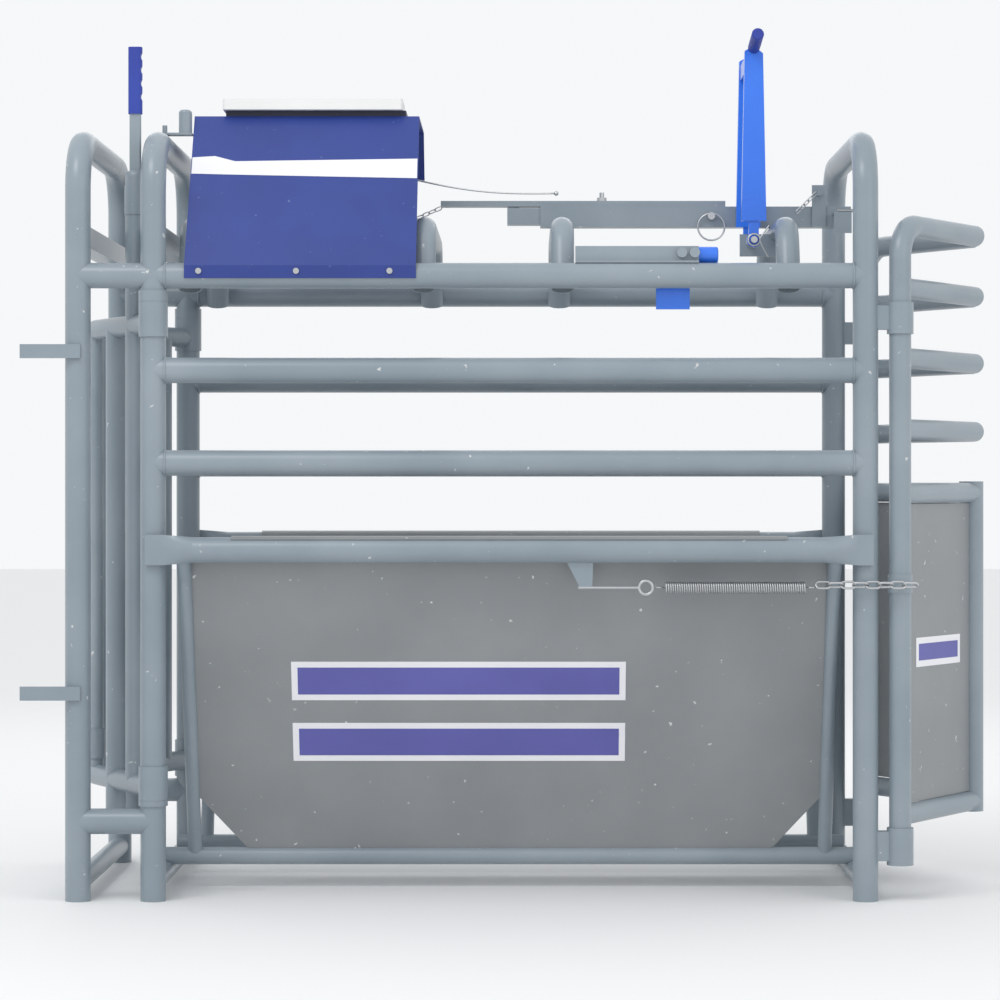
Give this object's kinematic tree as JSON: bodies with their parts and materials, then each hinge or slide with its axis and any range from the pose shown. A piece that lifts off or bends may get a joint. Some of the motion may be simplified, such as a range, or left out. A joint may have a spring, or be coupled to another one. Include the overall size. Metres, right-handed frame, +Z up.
{
  "type": "cattle squeeze chute",
  "caption": "Tubular steel cattle squeeze chute with V side panels, head gate, rear gate, roof lever and hood.",
  "frame": {"origin": "centre of the footprint on the floor", "axes": "+X from the head gate to the rear gate, +Y from the lever side to the far side, +Z up"},
  "size_m": [2.3269, 0.9525, 2.0641],
  "materials": {
    "grey_paint": "satin grey enamel",
    "grey_sheet": "satin grey enamel",
    "hood_blue": "satin blue",
    "lever_blue": "gloss blue",
    "grip_blue": "matt blue rubber",
    "black_trim": "satin",
    "white_plastic": "matt white",
    "zinc": "zinc plated"
  },
  "bodies": {
    "frame": {"cross_members": "grey_paint", "eye_bolt": "zinc", "folded_bracket": "grey_paint", "foot_tubes": "grey_paint", "front_hoop": "grey_paint", "front_straps": "grey_paint", "gate_bearings_far": "grey_paint", "gate_bearings_near": "grey_paint", "guide_bolt": "zinc", "guide_tube": "grey_paint", "head_hoop": "grey_paint", "head_sleeve_rings": "grey_paint", "hood": "hood_blue", "hood_bolts": "zinc", "latch_rod": "zinc", "lever_bracket": "grey_paint", "lever_clip": "zinc", "lever_pivot_rod": "zinc", "lower_links": "grey_paint", "panel_bars_far": "grey_paint", "panel_bars_near": "grey_paint", "panel_rails": "grey_paint", "panel_sheet_far": "grey_sheet", "panel_sheet_near": "grey_sheet", "rear_hoop": "grey_paint", "return_spring": "zinc", "roof_arches": "grey_paint", "rope_cup": "grey_paint", "side_angle": "grey_paint", "side_handle": "lever_blue", "side_rails_far": "grey_paint", "side_rails_near": "grey_paint", "spring_chain": "zinc", "spring_tab": "grey_paint", "stop_plate": "grey_paint", "top_rail_far": "grey_paint", "top_rail_near": "grey_paint", "tray_base": "black_trim", "tray_lid": "white_plastic", "waist_rail_far": "grey_paint", "waist_rail_near": "grey_paint"},
    "head_leaf_near": {"head_leaf_arms_near": "grey_paint", "head_leaf_bars_near": "grey_paint", "head_lever_post": "grey_paint", "head_lever_grip": "grip_blue"},
    "head_leaf_far": {"head_leaf_arms_far": "grey_paint", "head_leaf_bars_far": "grey_paint"},
    "rear_leaf_near": {"gate_post_near": "grey_paint", "gate_fingers_near": "grey_paint", "gate_frame_near": "grey_paint", "gate_sheet_near": "grey_sheet"},
    "rear_leaf_far": {"gate_post_far": "grey_paint", "gate_fingers_far": "grey_paint", "gate_frame_far": "grey_paint", "gate_sheet_far": "grey_sheet"},
    "lever": {"squeeze_lever": "lever_blue", "lever_grip": "grip_blue"},
    "slide_bar": {"inner_tube": "grey_paint", "flat_bar": "grey_paint"},
    "pin": {"lynch_pin": "zinc"}
  },
  "joints": [
    {"name": "head_leaf_near_swing", "type": "hinge", "parent": "frame", "child": "head_leaf_near", "pos_m": [-0.85348, -0.4, 0.8], "axis": [0, 0, 1], "range_deg": [0, 28]},
    {"name": "head_leaf_far_swing", "type": "hinge", "parent": "frame", "child": "head_leaf_far", "pos_m": [-0.85348, 0.4, 0.8], "axis": [0, 0, 1], "range_deg": [-28, 0]},
    {"name": "rear_leaf_near_swing", "type": "hinge", "parent": "frame", "child": "rear_leaf_near", "pos_m": [0.91252, -0.4, 0.8], "axis": [0, 0, 1], "range_deg": [-60, 0]},
    {"name": "rear_leaf_far_swing", "type": "hinge", "parent": "frame", "child": "rear_leaf_far", "pos_m": [0.91252, 0.4, 0.8], "axis": [0, 0, 1], "range_deg": [0, 60]},
    {"name": "lever_swing", "type": "hinge", "parent": "frame", "child": "lever", "pos_m": [0.57652, -0.15, 1.573], "axis": [0, 1, 0], "range_deg": [-15, 15]},
    {"name": "bar_slide", "type": "slide", "parent": "frame", "child": "slide_bar", "axis": [1, 0, 0], "range_m": [-0.03, 0.03]},
    {"name": "pin_pull", "type": "slide", "parent": "frame", "child": "pin", "axis": [0, -1, 0], "range_m": [0, 0.03]}
  ],
  "couplings": [
    {"joint": "head_leaf_far_swing", "follows": "head_leaf_near_swing", "ratio": -1},
    {"joint": "rear_leaf_far_swing", "follows": "rear_leaf_near_swing", "ratio": -1},
    {"joint": "bar_slide", "follows": "lever_swing", "m_per_rad": 0.09}
  ]
}
